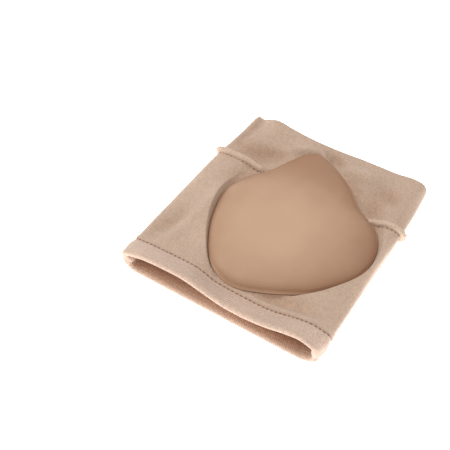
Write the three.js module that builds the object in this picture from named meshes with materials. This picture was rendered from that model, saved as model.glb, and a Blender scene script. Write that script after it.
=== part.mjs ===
// Arch support sleeve, turned inside out and lying flat: a hollow knit tube with a turned hem at the
// open near end, a doubled cuff at the far end, the overlocked seam between them, and a gel cushion.
// Millimetres. +X runs across the sleeve, +Y along it from the hem to the cuff, +Z up from the floor.
import * as THREE from 'three';

// Sizes of the sleeve as it lies
const sleeveLength = 104.5;
const hemWidth = 97;
const seamWidth = 93;
const cuffWidth = 89;
const hemDepth = 11.4;
const cuffDepth = 29.5;
const lyingHeight = 11;
const foldHeight = 6.4;
const cuffSkew = 1.2;
const cuffSag = 1.6;
const cornerPull = 2.5;

// How far the upper layer has slid over the lower one, to the right and to the open end, and how far
// its lip is drawn back again
const slideAcross = 1.5;
const slideAlong = 2.4;
const hemSetback = 0.9;

// Thicknesses
const knitWall = 1.2;
const hemThickness = 2.4;
const cuffThickness = 2.2;
const stitchGroove = 0.4;
const grooveWidth = 1.2;

// Overlocked seam allowance
const ridgeWidth = 2.0;
const ridgeHeight = 2.0;

// Gel cushion
const padLength = 82.2;
const padWidth = 72.8;
const padThickness = 8.8;
const padRim = 0.9;
const padPlaceAcross = 7.4;
const padPlaceAlong = 51.6;
const tipThinning = 0.42;

// Bed that the cushion presses into the upper layer: its height, how much higher it lies on the doubled
// cuff and towards the left fold, and how far it reaches beyond the cushion before the knit climbs
const bedHeight = 9.5;
const bedCuffRise = 0.7;
const bedLeftRise = 1.4;
const bedMargin = 1.8;

// Gaps between neighbouring pieces
const pieceGap = 0.3;
const padGap = 0.35;

// How finely the surfaces are divided
const topSteps = 50;
const lowerSteps = 22;
const aroundSteps = topSteps + lowerSteps;
const tracePoints = 240;
const padSpokes = 50;

const seamAlong = sleeveLength - cuffDepth;

// One row for each section, from the hem to the cuff. The place along the tube is in millimetres,
// shift is a share of the width, fold a share of foldHeight.
const sections = [
  { along: 0, width: hemWidth, shift: -0.012, fold: 1.08 },
  { along: hemDepth, width: hemWidth, shift: -0.012, fold: 1.04 },
  { along: 0.5 * (hemDepth + seamAlong), width: 0.5 * (hemWidth + seamWidth), shift: -0.006, fold: 1.0 },
  { along: seamAlong, width: seamWidth, shift: 0.004, fold: 0.94 },
  { along: 0.5 * (seamAlong + sleeveLength), width: 0.5 * (seamWidth + cuffWidth), shift: 0.01, fold: 0.88 },
  { along: sleeveLength, width: cuffWidth, shift: 0.008, fold: 0.84 },
];

// Shares of the half width at which the upper layer's height is given
const crownShares = [-0.9, -0.75, -0.55, -0.35, -0.15, 0.05, 0.25, 0.45, 0.65, 0.8, 0.92];

// How far the upper layer stands above lyingHeight at those shares, in millimetres, before its side
// folds round it off: the wavy lip of the hem first, the far fold last
const crown = [
  { along: 0, rises: [6.8, 7.5, 7.4, 7.1, 5.1, 2.1, 1.8, 3.4, 6.5, 9.0, 9.8] },
  { along: hemDepth, rises: [2.5, 2.5, 3.0, 2.8, -0.8, -1.4, -1.3, -0.1, 3.2, 5.1, 4.8] },
  { along: 1.6 * hemDepth, rises: [2.1, 2.2, 2.6, 2.1, -0.6, -1.3, -1.2, -0.5, 1.8, 3.5, 3.4] },
  { along: 0.5 * (hemDepth + seamAlong), rises: [1.8, 2.2, 2.4, 1.2, 0.2, 0, 0, 0.2, 1.0, 2.2, 2.8] },
  { along: 0.2 * hemDepth + 0.8 * seamAlong, rises: [1.6, 1.9, 1.8, 0.8, 0, -0.2, -0.2, 0, 0.4, 1.8, 2.5] },
  { along: seamAlong, rises: [1.0, 1.2, 0, -1.0, -1.2, -1.2, -1.2, -1.2, -1.2, 0.8, 2.2] },
  { along: 0.55 * seamAlong + 0.45 * sleeveLength, rises: [0.2, 1.2, 0.4, -0.2, -0.4, -0.2, 0, 0, 0.4, 1.4, 2.1] },
  { along: sleeveLength, rises: [-1.1, 1.6, 1.0, 0.2, 0.1, 0.4, 1.0, 1.1, 1.1, 2.2, 2.4] },
];

// Soft creases on top of that. Across is a share of the half width, along a share of the length,
// direction is in degrees from across, and length, width and rise are in millimetres.
const creases = [
  { name: 'raised far left corner', across: -0.965, along: 0.985, direction: 90, length: 5.2, width: 1.5, rise: 1.8 },
  { name: 'raised left end of the seam', across: -0.93, along: 0.72, direction: 90, length: 5.2, width: 2.9, rise: 0.4 },
  { name: 'crest before the far fold', across: -0.3, along: 0.945, direction: -8, length: 10, width: 2.2, rise: 1.0 },
  { name: 'crest between tip and fold', across: -0.14, along: 0.945, direction: 20, length: 4, width: 2.6, rise: 0.8 },
  { name: 'valley under that crest', across: -0.34, along: 0.865, direction: 14, length: 8, width: 2.4, rise: -0.9 },
  { name: 'swell of the cuff', across: 0.6, along: 0.92, direction: -25, length: 9, width: 4, rise: 0.6 },
  { name: 'valley before the seam', across: 0.62, along: 0.76, direction: 35, length: 7, width: 3.4, rise: -0.7 },
  { name: 'valley behind the hem', across: 0.52, along: 0.155, direction: 15, length: 8, width: 2.2, rise: -1.3 },
  { name: 'valley from cushion to hem', across: 0.32, along: 0.19, direction: 60, length: 6, width: 4, rise: -0.5 },
  { name: 'crest left of the cushion', across: -0.7, along: 0.34, direction: 84, length: 13, width: 2.6, rise: 0.4 },
  { name: 'dip beside the left fold', across: -0.82, along: 0.25, direction: 70, length: 8, width: 3.2, rise: -0.5 },
];

// Share of the half width over which the lower layer lies quite flat
const flatShare = 0.76;
// Roundness of the upper layer towards its side folds
const shoulderPower = 4.5;

// Outline of the cushion, counter-clockwise from its tip, in shares of its half width and half length
const padOutline = [
  { across: -0.35, along: 1.0 },
  { across: -0.5, along: 0.9 },
  { across: -0.6, along: 0.73 },
  { across: -0.71, along: 0.55 },
  { across: -0.88, along: 0.36 },
  { across: -0.99, along: 0.13 },
  { across: -1.0, along: -0.09 },
  { across: -0.92, along: -0.38 },
  { across: -0.78, along: -0.64 },
  { across: -0.59, along: -0.87 },
  { across: -0.37, along: -0.98 },
  { across: -0.16, along: -0.99 },
  { across: 0.05, along: -0.93 },
  { across: 0.35, along: -0.8 },
  { across: 0.64, along: -0.63 },
  { across: 0.85, along: -0.42 },
  { across: 0.97, along: -0.22 },
  { across: 1.0, along: -0.01 },
  { across: 0.96, along: 0.2 },
  { across: 0.84, along: 0.38 },
  { across: 0.68, along: 0.48 },
  { across: 0.48, along: 0.58 },
  { across: 0.29, along: 0.73 },
  { across: 0.09, along: 0.85 },
  { across: -0.15, along: 0.96 },
];

// By bearing in degrees from +X round the cushion: how many millimetres the knit takes to climb out of
// the bed, and the powers that flatten the cushion's top and make its side steep
const padSides = [
  { bearing: 0, climb: 2.4, flatness: 2.8, steepness: 3.2 },
  { bearing: 40, climb: 4.6, flatness: 2.4, steepness: 2.0 },
  { bearing: 75, climb: 5.0, flatness: 2.2, steepness: 1.6 },
  { bearing: 105, climb: 3.0, flatness: 2.0, steepness: 1.4 },
  { bearing: 140, climb: 6.0, flatness: 2.2, steepness: 1.5 },
  { bearing: 185, climb: 3.0, flatness: 2.4, steepness: 2.0 },
  { bearing: 230, climb: 2.4, flatness: 2.6, steepness: 2.4 },
  { bearing: 270, climb: 2.4, flatness: 2.8, steepness: 2.6 },
  { bearing: 315, climb: 2.4, flatness: 2.8, steepness: 3.2 },
  { bearing: 360, climb: 2.4, flatness: 2.8, steepness: 3.2 },
];

// A smooth value of one column of a table, whose rows are ordered by the column named key
function smoothColumn(rows, key, name, at) {
  const last = rows.length - 1;
  let row = 0;
  while (row < last - 1 && at > rows[row + 1][key]) {
    row += 1;
  }
  const rise = (index) => (rows[index + 1][name] - rows[index][name]) / (rows[index + 1][key] - rows[index][key]);
  const slope = (index) => {
    if (index === 0 || index === last) {
      return rise(Math.min(index, last - 1));
    }
    const before = rows[index][key] - rows[index - 1][key];
    const after = rows[index + 1][key] - rows[index][key];
    return (rise(index - 1) * after + rise(index) * before) / (before + after);
  };
  const span = rows[row + 1][key] - rows[row][key];
  const t = THREE.MathUtils.clamp((at - rows[row][key]) / span, 0, 1);
  const stay = rows[row][name] * (2 * t ** 3 - 3 * t ** 2 + 1);
  const reach = rows[row + 1][name] * (3 * t ** 2 - 2 * t ** 3);
  const bend = slope(row) * (t ** 3 - 2 * t ** 2 + t) + slope(row + 1) * (t ** 3 - t ** 2);
  return stay + reach + bend * span;
}

// Centre, half width and side fold of the section at a place along the tube
function section(along) {
  const width = smoothColumn(sections, 'along', 'width', along);
  return {
    centre: smoothColumn(sections, 'along', 'shift', along) * width,
    half: width / 2,
    fold: smoothColumn(sections, 'along', 'fold', along) * foldHeight,
  };
}

// Sum of the creases, fading out at the side folds
function creaseHeight(share, along) {
  const rises = creases.map((crease) => {
    const turn = THREE.MathUtils.degToRad(crease.direction);
    const x = ((share - crease.across) * hemWidth) / 2;
    const y = along - crease.along * sleeveLength;
    const ahead = (x * Math.cos(turn) + y * Math.sin(turn)) / crease.length;
    const beside = (y * Math.cos(turn) - x * Math.sin(turn)) / crease.width;
    return crease.rise * Math.exp(-0.5 * (ahead ** 2 + beside ** 2));
  });
  return (1 - share ** 24) * rises.reduce((sum, rise) => sum + rise, 0);
}

// How fully the upper layer has left the side fold
function shoulder(share) {
  return (1 - Math.min(Math.abs(share), 1) ** shoulderPower) ** (1 / shoulderPower);
}

// Height of the upper layer as it would lie without the cushion
function freeHeight(share, along) {
  const { fold } = section(along);
  const rows = crown.map((row) => {
    const profile = crownShares.map((at, index) => ({ share: at, rise: row.rises[index] }));
    return { along: row.along, rise: smoothColumn(profile, 'share', 'rise', share) };
  });
  const height = lyingHeight + smoothColumn(rows, 'along', 'rise', along);
  return fold + (height - fold) * shoulder(share) + creaseHeight(share, along);
}

// Height of the knit under a point of the cushion
function bed(x, y) {
  const onCuff = THREE.MathUtils.smoothstep(y, seamAlong - 0.25 * cuffDepth, seamAlong + 0.25 * cuffDepth);
  const onLeft = 1 - THREE.MathUtils.smoothstep(x, -0.25 * seamWidth / 2, 0.04 * seamWidth / 2);
  const onNearHalf = 1 - THREE.MathUtils.smoothstep(y, 0.48 * sleeveLength, 0.64 * sleeveLength);
  return bedHeight + bedCuffRise * onCuff + bedLeftRise * onLeft * onNearHalf;
}

const padMiddle = new THREE.Vector3(padPlaceAcross, padPlaceAlong, 0);
const padCurve = new THREE.CatmullRomCurve3(
  padOutline.map(({ across, along }) => new THREE.Vector3(
    padMiddle.x + (across * padWidth) / 2,
    padMiddle.y + (along * padLength) / 2,
    0,
  )),
  true,
  'catmullrom',
  0.5,
);
const padEdge = padCurve.getPoints(4 * padSpokes);

// Bearing of a point from the middle of the cushion, in degrees from +X
function bearingOf(point) {
  const bearing = THREE.MathUtils.radToDeg(Math.atan2(point.y - padMiddle.y, point.x - padMiddle.x));
  return THREE.MathUtils.euclideanModulo(bearing, 360);
}

// Distance from the cushion's outline, nothing inside it
function clearOfPad(point) {
  let inside = false;
  let nearest = Infinity;
  for (let step = 0; step < padEdge.length - 1; step += 1) {
    const a = padEdge[step];
    const b = padEdge[step + 1];
    nearest = Math.min(nearest, Math.hypot(a.x - point.x, a.y - point.y));
    const straddles = (a.y > point.y) !== (b.y > point.y);
    if (straddles && point.x < a.x + ((b.x - a.x) * (point.y - a.y)) / (b.y - a.y)) {
      inside = !inside;
    }
  }
  return inside ? 0 : nearest;
}

// Height of the outer face of the lower layer, flat on the floor but for its turned-up sides
function lowerHeight(share, along) {
  const turn = Math.max(0, (Math.abs(share) - flatShare) / (1 - flatShare));
  return section(along).fold * (1 - Math.sqrt(1 - Math.min(turn, 1) ** 2));
}

// How far the far end runs askew, sags between its corners and is rounded at them
function drift(share, along) {
  const pull = cuffSag * (1 - share ** 2) + cornerPull * share ** 16;
  return (cuffSkew * share - pull) * (along / sleeveLength) ** 4;
}

// A point of the lower layer's outer face
function lowerPoint(share, along) {
  const { centre, half } = section(along);
  return new THREE.Vector3(centre + share * half, along + drift(share, along), lowerHeight(share, along));
}

// A point of the upper layer's outer face, which has slid and lies in its bed where the cushion presses
function upperPoint(share, along) {
  const point = lowerPoint(share, along);
  const lip = (1 - Math.min(along / hemDepth, 1)) ** 2 * (1 - share ** 6);
  point.x += slideAcross * shoulder(share);
  point.y += hemSetback * lip - slideAlong * shoulder(share);
  const climb = smoothColumn(padSides, 'bearing', 'climb', bearingOf(point));
  const free = THREE.MathUtils.smoothstep(clearOfPad(point), bedMargin, bedMargin + climb);
  point.z = THREE.MathUtils.lerp(bed(point.x, point.y), freeHeight(share, along), free);
  return point;
}

// One whole section from the left fold over the top to the right fold and back below, each layer
// evenly divided
const sectionCache = new Map();
function sectionLoop(along) {
  if (!sectionCache.has(along)) {
    const loop = [];
    [{ pointAt: upperPoint, steps: topSteps, side: -1 }, { pointAt: lowerPoint, steps: lowerSteps, side: 1 }]
      .forEach(({ pointAt, steps, side }) => {
        const trace = [];
        for (let step = 0; step <= tracePoints / 2; step += 1) {
          trace.push(pointAt(side * Math.cos((2 * Math.PI * step) / tracePoints), along));
        }
        const reach = [0];
        for (let step = 1; step < trace.length; step += 1) {
          reach.push(reach[step - 1] + trace[step].distanceTo(trace[step - 1]));
        }
        let at = 0;
        for (let step = 0; step < steps; step += 1) {
          const target = (reach[trace.length - 1] * step) / steps;
          while (reach[at + 1] < target) {
            at += 1;
          }
          loop.push(trace[at].clone().lerp(trace[at + 1], (target - reach[at]) / (reach[at + 1] - reach[at])));
        }
      });
    sectionCache.set(along, loop);
  }
  return sectionCache.get(along);
}

// A point a given distance outside the sleeve's outer face, or inside it where out is negative
function surfacePoint(step, along, out) {
  const nudge = 0.5;
  const point = sectionLoop(along)[step];
  const next = sectionLoop(along)[(step + 1) % aroundSteps];
  const previous = sectionLoop(along)[(step + aroundSteps - 1) % aroundSteps];
  const further = sectionLoop(Math.min(along + nudge, sleeveLength))[step];
  const nearer = sectionLoop(Math.max(along - nudge, 0))[step];
  const around = next.clone().sub(previous);
  const lengthwise = further.clone().sub(nearer);
  const normal = around.cross(lengthwise).normalize();
  return point.clone().addScaledVector(normal, out);
}

// A closed solid from a list of points and the triangles between them
function solid(name, points, faces, look) {
  const geometry = new THREE.BufferGeometry();
  geometry.setAttribute('position', new THREE.Float32BufferAttribute(points.flatMap((p) => [p.x, p.y, p.z]), 3));
  geometry.setIndex(faces);
  geometry.computeVertexNormals();
  const mesh = new THREE.Mesh(geometry, new THREE.MeshStandardMaterial(look));
  mesh.name = name;
  return mesh;
}

// A band swept right round the sleeve: its profile runs outside from near to far, then back inside
function band(name, profileAt, look) {
  const points = [];
  for (let step = 0; step < aroundSteps; step += 1) {
    profileAt(step).forEach(({ along, out }) => points.push(surfacePoint(step, along, out)));
  }
  const profileSteps = points.length / aroundSteps;
  const faces = [];
  for (let step = 0; step < aroundSteps; step += 1) {
    const here = step * profileSteps;
    const beside = ((step + 1) % aroundSteps) * profileSteps;
    for (let row = 0; row < profileSteps; row += 1) {
      const next = (row + 1) % profileSteps;
      faces.push(here + row, beside + row, beside + next);
      faces.push(here + row, beside + next, here + next);
    }
  }
  return solid(name, points, faces, look);
}

// Evenly spaced profile points at one depth, both ends included
function stretch(from, to, count, out) {
  const rows = [];
  for (let row = 0; row < count; row += 1) {
    rows.push({ along: THREE.MathUtils.lerp(from, to, row / (count - 1)), out });
  }
  return rows;
}

// Half round of a folded edge, from its inner to its outer face, that touches the given end of the tube
function foldedEdge(end, inward, thickness) {
  const radius = thickness / 2;
  const rows = [];
  for (let step = 0; step <= 4; step += 1) {
    const turn = -Math.PI / 2 + (Math.PI * step) / 4;
    rows.push({ along: end + inward * radius * (1 - Math.cos(turn)), out: -radius + radius * Math.sin(turn) });
  }
  return rows;
}

function hemProfile() {
  const inner = hemDepth - pieceGap / 2;
  return [
    ...foldedEdge(0, 1, hemThickness),
    { along: hemDepth / 2, out: 0 },
    { along: inner - grooveWidth, out: 0 },
    { along: inner, out: -stitchGroove },
    { along: inner, out: -hemThickness },
    { along: hemDepth / 2, out: -hemThickness },
  ];
}

function bodyProfile() {
  const near = hemDepth + pieceGap / 2;
  const far = seamAlong - ridgeWidth / 2 - pieceGap;
  return [
    { along: near, out: -stitchGroove },
    ...stretch(near + grooveWidth, far, 24, 0),
    ...stretch(far, near, 12, -knitWall),
  ];
}

function cuffProfile() {
  const near = seamAlong + ridgeWidth / 2 + pieceGap;
  const edge = foldedEdge(sleeveLength, -1, cuffThickness);
  return [
    ...stretch(near, sleeveLength - cuffThickness, 9, 0),
    ...edge.reverse(),
    ...stretch(sleeveLength - cuffThickness, near, 5, -cuffThickness),
  ];
}

// The allowance stands up beside the cushion and at the side folds. It is pressed flat under the
// cushion and under the sleeve.
function ridgeProfile(step) {
  const base = sectionLoop(seamAlong)[step];
  const lifted = THREE.MathUtils.smoothstep(base.z, 0.3 * foldHeight, foldHeight);
  const free = THREE.MathUtils.smoothstep(clearOfPad(base), ridgeWidth, 3 * ridgeWidth);
  const stand = ridgeHeight * lifted * free;
  const near = seamAlong - ridgeWidth / 2;
  const far = seamAlong + ridgeWidth / 2;
  return [
    { along: near, out: 0 },
    { along: near, out: 0.7 * stand },
    { along: seamAlong - ridgeWidth / 4, out: stand },
    { along: seamAlong + ridgeWidth / 4, out: stand },
    { along: far, out: 0.7 * stand },
    { along: far, out: 0 },
    { along: far, out: -knitWall },
    { along: near, out: -knitWall },
  ];
}

// Height of the cushion's top over its underside, at a share of the way from its middle to its edge
function dome(spot, share) {
  const bearing = bearingOf(spot);
  const flatness = smoothColumn(padSides, 'bearing', 'flatness', bearing);
  const steepness = smoothColumn(padSides, 'bearing', 'steepness', bearing);
  const towardsTip = THREE.MathUtils.smoothstep(spot.y - padMiddle.y, 0.12 * padLength, 0.54 * padLength);
  const swell = (1 - share ** flatness) ** (1 / steepness);
  return padRim + (padThickness - padRim) * (1 - tipThinning * towardsTip) * swell;
}

// The cushion: its underside follows the bed, its top is a smooth dome with a low rim
function gelPad() {
  const rings = [0.3, 0.55, 0.75, 0.88, 0.95, 0.985, 1];
  const outline = padCurve.getPoints(padSpokes).slice(0, padSpokes);
  const points = [];
  [true, false].forEach((top) => {
    const centreHeight = bed(padMiddle.x, padMiddle.y) + padGap + (top ? dome(padMiddle, 0) : 0);
    points.push(new THREE.Vector3(padMiddle.x, padMiddle.y, centreHeight));
    rings.forEach((share) => outline.forEach((edge) => {
      const spot = padMiddle.clone().lerp(edge, share);
      spot.z = bed(spot.x, spot.y) + padGap + (top ? dome(spot, share) : 0);
      points.push(spot);
    }));
  });
  const side = 1 + rings.length * padSpokes;
  const faces = [];
  for (let spoke = 0; spoke < padSpokes; spoke += 1) {
    const next = (spoke + 1) % padSpokes;
    faces.push(0, 1 + spoke, 1 + next);
    faces.push(side, side + 1 + next, side + 1 + spoke);
    for (let ring = 1; ring < rings.length; ring += 1) {
      const inner = 1 + (ring - 1) * padSpokes;
      const outer = 1 + ring * padSpokes;
      faces.push(inner + spoke, outer + spoke, outer + next);
      faces.push(inner + spoke, outer + next, inner + next);
      faces.push(side + inner + spoke, side + outer + next, side + outer + spoke);
      faces.push(side + inner + spoke, side + inner + next, side + outer + next);
    }
    const rim = 1 + (rings.length - 1) * padSpokes;
    faces.push(rim + spoke, side + rim + spoke, side + rim + next);
    faces.push(rim + spoke, side + rim + next, rim + next);
  }
  return solid('gel_pad', points, faces, { color: '#c89f86', roughness: 0.38, metalness: 0 });
}

const sleeve = new THREE.Group();
sleeve.add(band('sleeve_body', bodyProfile, { color: '#c6aa95', roughness: 0.85, metalness: 0 }));
sleeve.add(band('hem_band', hemProfile, { color: '#d0b39f', roughness: 0.85, metalness: 0 }));
sleeve.add(band('cuff', cuffProfile, { color: '#c4a792', roughness: 0.85, metalness: 0 }));
sleeve.add(band('seam_ridge', ridgeProfile, { color: '#bd9f89', roughness: 0.9, metalness: 0 }));
sleeve.add(gelPad());
// The whole lies on the floor with its middle over the origin
const bounds = new THREE.Box3().setFromObject(sleeve);
const middle = bounds.getCenter(new THREE.Vector3());
sleeve.position.set(-middle.x, -middle.y, -bounds.min.z);

export default sleeve;
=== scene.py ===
# Arch support sleeve, turned inside out and lying flat, as a Blender add-on that is run as a script.
# +X runs across the sleeve, +Y along it from the open hem to the folded cuff, +Z up from the floor.
import math

import bpy
import numpy as np
from bpy.props import FloatProperty, PointerProperty
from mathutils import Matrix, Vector


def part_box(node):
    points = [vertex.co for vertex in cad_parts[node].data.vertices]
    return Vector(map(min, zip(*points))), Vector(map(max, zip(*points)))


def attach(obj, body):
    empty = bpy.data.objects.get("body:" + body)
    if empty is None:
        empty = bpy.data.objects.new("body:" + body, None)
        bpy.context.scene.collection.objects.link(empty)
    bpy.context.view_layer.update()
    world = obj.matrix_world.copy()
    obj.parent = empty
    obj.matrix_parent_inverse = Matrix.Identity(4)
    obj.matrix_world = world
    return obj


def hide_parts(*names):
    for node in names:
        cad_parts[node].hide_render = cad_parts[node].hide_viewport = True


bl_info = {
    "name": "Arch support sleeve",
    "version": (1, 0, 0),
    "blender": (4, 5, 0),
    "location": "3D View > Sidebar > Sleeve",
    "description": "Builds a knit arch support sleeve with its hem, cuff, seam and gel cushion",
    "category": "Object",
}

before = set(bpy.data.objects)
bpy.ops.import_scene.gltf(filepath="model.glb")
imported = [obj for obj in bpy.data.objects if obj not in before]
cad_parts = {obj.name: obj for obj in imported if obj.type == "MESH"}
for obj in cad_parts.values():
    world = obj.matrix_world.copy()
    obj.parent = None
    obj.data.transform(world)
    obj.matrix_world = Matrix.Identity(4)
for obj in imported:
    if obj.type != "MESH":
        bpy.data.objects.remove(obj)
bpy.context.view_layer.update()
HEM_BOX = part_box("hem_band")

MM = 0.001

# How finely the soft surfaces are divided, and how far apart the rows of cloth lie, from the faces that
# are seen to the hidden ones
AROUND_STEPS = 480
LENGTH_ROWS = 320
TRACE_POINTS = 1800
PAD_SPOKES = 320
OUTLINE_STEPS = 24
FOLD_STEPS = 11
BODY_ROWS = 0.41 * MM
BAND_ROWS = 0.42 * MM
LINING_ROWS = 0.8 * MM
INNER_ROWS = 1.7 * MM
HIDDEN_ROWS = 2.5 * MM

# How the sleeve lies: the hem's shift to the left as a share of its width, the power of the curve by which
# the upper layer rounds down into its side folds, and the shares of the half width up to which the lower
# layer lies flat
HEM_SHIFT = -0.012
SHOULDER_POWER = 4.5
FLAT_LEFT = 0.84
FLAT_RIGHT = 0.76

# How much higher the cushion's bed is on the doubled cuff and towards the left fold, and how far the crest
# of the knit beside the cushion reaches
CUFF_STEP = 0.7 * MM
LEFT_STEP = 1.4 * MM
CREST_REACH = 5 * MM

# The solids lie this far apart, the cloth stops this far from its seams, and the cushion lies this far
# off the knit
SOLIDS_GAP = 0.3 * MM
SEWN_GAP = 0.05 * MM
CUSHION_GAP = 0.3 * MM

# The seam allowance reaches its full height over this distance from the cushion
RIDGE_CLIMB = 2.2 * MM

# The cushion is thinner at its tip by this share, which grows from this distance beyond its middle over
# this reach. Its edge is rounded out by the last length.
TIP_THINNING = 0.42
THINNING_START = 8 * MM
THINNING_REACH = 34 * MM
EDGE_ROUND = 0.25 * MM

# The knit's inner face: how often it is evened, and how far under the outer face it stays at least
EVENING_PASSES = 12
LEAST_WALL = 0.9 * MM

# Sewn edges roll down over this reach. Inside the band the raw edge stops short of the seam by this much,
# and the lining's upright pleats have this pitch.
ROLL_REACH = 0.7 * MM
RAW_SETBACK = 0.4 * MM
PLEAT_PITCH = 3.2 * MM

# Painted shade: how much darker the knit's colour is made in a valley of this depth, and on the lining this
# far inside the tube, where the light hardly reaches
VALLEY_SHADE = 0.2
SHADED_DEPTH = 2 * MM
LINING_SHADE = 0.45
DARKENING_REACH = 6 * MM

# Height of the upper layer's outer face over the floor in millimetres, before its side folds round it
# off: one row for each place along, one column for each share of the half width in ACROSS. The numbers
# under the cushion only carry the surface through, because the cushion lies in a bed of its own.
ACROSS = (-0.90, -0.75, -0.55, -0.35, -0.15, 0.05, 0.25, 0.45, 0.65, 0.80, 0.92)
CROWN = (
    # along, heights at the shares above
    (0.0, 18.8, 19.6, 19.7, 19.4, 17.3, 14.3, 14.0, 15.6, 18.7, 21.0, 21.6),
    (11.4, 13.5, 13.5, 14.0, 13.8, 10.2, 9.6, 9.7, 10.9, 14.2, 16.1, 15.8),
    (18.2, 13.1, 13.2, 13.6, 13.1, 10.4, 9.7, 9.8, 10.5, 12.8, 14.5, 14.4),
    (43.2, 12.8, 13.2, 13.4, 12.2, 11.2, 11.0, 11.0, 11.2, 12.0, 13.2, 13.8),
    (62.3, 12.6, 12.9, 12.8, 11.8, 11.0, 10.8, 10.8, 11.0, 11.4, 12.8, 13.5),
    (75.0, 12.0, 12.2, 11.0, 10.0, 9.8, 9.8, 9.8, 9.8, 9.8, 11.8, 13.2),
    (88.3, 11.2, 12.2, 11.4, 10.8, 10.6, 10.8, 11.0, 11.0, 11.4, 12.4, 13.1),
    (104.5, 9.9, 12.6, 12.0, 11.2, 11.1, 11.4, 12.0, 12.1, 12.1, 13.2, 13.4),
)

# Soft hills and hollows on top of that. Across is a share of the half width and along a share of the
# length, reaches are shares of the same, and rise is in millimetres.
HILLS = (
    # what it is, across, along, reach across, reach along, rise
    ("raised far left corner", -0.965, 0.985, 0.030, 0.05, 1.8),
    ("raised left end of the seam", -0.93, 0.72, 0.06, 0.05, 0.4),
)

# Creases of the knit: the middle's place as shares, the direction in degrees from across, and the
# length, width and rise in millimetres.
CREASES = (
    # what it is, across, along, direction, length, width, rise
    ("crest before the far fold", -0.28, 0.898, 19, 7, 2.3, 2.8),
    ("swell of the far left corner", -0.66, 0.95, -20, 7, 3.0, 1.4),
    ("pit right of the tip", 0.0, 0.935, -15, 4, 2.0, -3.0),
    ("crest along the far fold", 0.37, 0.905, 0, 8, 2.6, 2.6),
    ("valley from the seam to the tip", -0.60, 0.80, 30, 9, 3.0, -3.0),
    ("dip of the cuff on the right", 0.67, 0.865, -20, 6, 2.8, -2.1),
    ("crest of the cuff's right fold", 0.90, 0.87, 80, 9, 2.5, 1.4),
    ("valley beside the tip", 0.34, 0.815, 142, 9, 2.8, -3.2),
    ("valley from the tip down to the seam", 0.62, 0.775, 120, 5, 2.4, -2.0),
    ("pit before the right end of the seam", 0.73, 0.655, 80, 3.0, 2.2, -2.8),
    ("trough behind the left end of the seam", -0.84, 0.795, 0, 8, 2.6, -1.4),
    ("valley behind the hem", 0.48, 0.168, -1, 10, 3.0, -1.9),
    ("crest behind the hem's stitches", 0.48, 0.127, -1, 11, 0.9, 1.3),
    ("valley from the cushion to the hem", 0.32, 0.19, 60, 6, 4.0, -0.9),
    ("crest left of the cushion", -0.70, 0.34, 84, 13, 2.6, 1.1),
    ("dip beside the left fold", -0.84, 0.25, 70, 8, 3.0, -1.7),
    ("dip before the left end of the seam", -0.64, 0.645, 75, 7, 3.2, -1.7),
    ("trough beside the cuff's left fold", -0.915, 0.88, 86, 9, 1.1, -1.3),
    ("crest of the cuff's left fold", -0.975, 0.88, 86, 9, 1.0, 0.8),
)

# Where the knit meets the cushion, by bearing in degrees from +X: how far beyond the cushion's edge it
# has climbed out of the cushion's bed, how high it then stands above its own level, and how sharp its
# edge is, from 0 for a soft roll to 1 for a crisp corner.
MEETING = (
    # bearing, reach, crest, sharpness
    (0, 1.5, 1.9, 1.0),
    (16, 2.2, 1.3, 0.8),
    (28, 3.8, 0.2, 0.2),
    (38, 4.4, 0.0, 0.0),
    (48, 5.5, 0.0, 0.0),
    (68, 6.0, 0.0, 0.0),
    (90, 4.0, 0.1, 0.0),
    (105, 2.6, 0.3, 0.0),
    (125, 6.0, 0.1, 0.0),
    (142, 7.0, 0.0, 0.0),
    (156, 4.4, 0.3, 0.6),
    (172, 2.4, 0.9, 1.0),
    (186, 2.0, 1.1, 1.0),
    (205, 1.6, 0.9, 1.0),
    (230, 1.1, 0.4, 1.0),
    (246, 0.9, 0.2, 1.0),
    (264, 0.9, 0.1, 1.0),
    (290, 0.9, 0.2, 1.0),
    (319, 1.0, 1.1, 1.0),
    (340, 1.1, 1.6, 1.0),
)

# Outline of the cushion, counter-clockwise from its tip, in shares of its half width and half length
PAD_OUTLINE = (
    # across, along
    (-0.35, 1.00),
    (-0.50, 0.90),
    (-0.60, 0.73),
    (-0.71, 0.55),
    (-0.88, 0.36),
    (-0.99, 0.13),
    (-1.00, -0.09),
    (-0.92, -0.38),
    (-0.78, -0.64),
    (-0.59, -0.87),
    (-0.37, -0.98),
    (-0.16, -0.99),
    (0.05, -0.93),
    (0.35, -0.80),
    (0.64, -0.63),
    (0.85, -0.42),
    (0.97, -0.22),
    (1.00, -0.01),
    (0.96, 0.20),
    (0.84, 0.38),
    (0.68, 0.48),
    (0.48, 0.58),
    (0.29, 0.73),
    (0.09, 0.85),
    (-0.15, 0.96),
)

# How the cushion rises from its edge, by bearing in degrees from +X: the first power flattens its top,
# the second one makes its side steep, and the flange is its thin edge, in millimetres
PAD_SIDES = (
    # bearing, flatness, steepness, flange
    (0, 2.3, 1.5, 0.3),
    (35, 2.3, 1.8, 0.8),
    (62, 2.2, 1.7, 0.8),
    (85, 2.2, 1.6, 0.4),
    (105, 2.0, 1.4, 0.3),
    (140, 2.2, 1.5, 0.3),
    (185, 2.4, 2.0, 0.4),
    (230, 2.6, 2.4, 0.3),
    (270, 2.8, 2.6, 0.4),
    (315, 2.8, 2.1, 0.3),
    (338, 2.7, 1.7, 0.3),
)

# Section of the seam allowance over its top from near to far: place across it and share of its height
RIDGE_SHAPE = (
    # across, height
    (-1, 0),
    (-1.05, 0.35),
    (-0.95, 0.7),
    (-0.6, 0.93),
    (-0.1, 1.0),
    (0.4, 0.95),
    (0.8, 0.72),
    (1.0, 0.36),
    (1.0, 0),
)


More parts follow.
